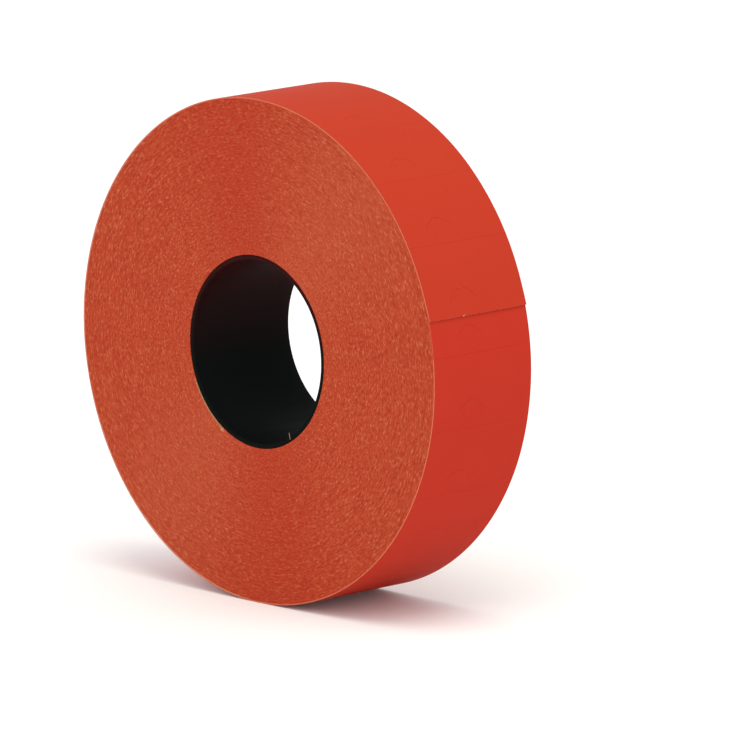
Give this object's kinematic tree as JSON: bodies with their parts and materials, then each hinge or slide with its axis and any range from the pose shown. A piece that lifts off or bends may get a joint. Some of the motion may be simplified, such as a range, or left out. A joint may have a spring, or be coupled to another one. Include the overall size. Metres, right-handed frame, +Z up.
{
  "type": "price label roll",
  "caption": "Roll of red die-cut self-adhesive price labels on a continuous liner, wound on a thin black core that fits a pricing gun's spindle.",
  "frame": {"origin": "centre of the bore, midway between the two side faces", "axes": "+Y along the axis the roll turns about, +Z up with the roll standing on its edge, +X towards the free end of the web"},
  "size_m": [0.0758, 0.0198, 0.0759],
  "materials": {
    "label": "uncoated red-orange label paper",
    "wound": "stacked edges of red labels and liner",
    "liner": "satin release-coated liner",
    "core": "black, semi-matt"
  },
  "bodies": {
    "roll": {"core": "core", "wound_web": "wound", "liner_outer_turn": "liner", "label_06": "label", "label_07": "label", "label_08": "label", "label_09": "label", "label_10": "label", "label_11": "label", "label_12": "label", "label_13": "label", "label_14": "label", "label_15": "label", "label_16": "label", "label_17": "label", "label_18": "label", "label_19": "label", "label_20": "label", "label_21": "label"},
    "leader_5": {"liner_leader_05": "liner", "label_05": "label"},
    "leader_4": {"liner_leader_04": "liner", "label_04": "label"},
    "leader_3": {"liner_leader_03": "liner", "label_03": "label"},
    "leader_2": {"liner_leader_02": "liner", "label_02": "label", "liner_leader_01": "liner"},
    "lead_label": {"label_01": "label"}
  },
  "joints": [
    {"name": "leader_bend_5", "type": "hinge", "parent": "roll", "child": "leader_5", "pos_m": [-0.00509, 0, 0.03752], "axis": [0, -1, 0], "range_deg": [0, 17]},
    {"name": "leader_bend_4", "type": "hinge", "parent": "leader_5", "child": "leader_4", "pos_m": [0.00594, 0, 0.0374], "axis": [0, -1, 0], "range_deg": [0, 17]},
    {"name": "leader_bend_3", "type": "hinge", "parent": "leader_4", "child": "leader_3", "pos_m": [0.01647, 0, 0.03411], "axis": [0, -1, 0], "range_deg": [0, 17]},
    {"name": "leader_bend_2", "type": "hinge", "parent": "leader_3", "child": "leader_2", "pos_m": [0.0256, 0, 0.02792], "axis": [0, -1, 0], "range_deg": [0, 17]},
    {"name": "lead_label_peel", "type": "hinge", "parent": "leader_2", "child": "lead_label", "pos_m": [0.03262, 0, 0.01934], "axis": [0, -1, 0], "range_deg": [0, 45]}
  ],
  "couplings": [
    {"joint": "leader_bend_4", "follows": "leader_bend_5", "ratio": 1},
    {"joint": "leader_bend_3", "follows": "leader_bend_5", "ratio": 1},
    {"joint": "leader_bend_2", "follows": "leader_bend_5", "ratio": 1}
  ]
}
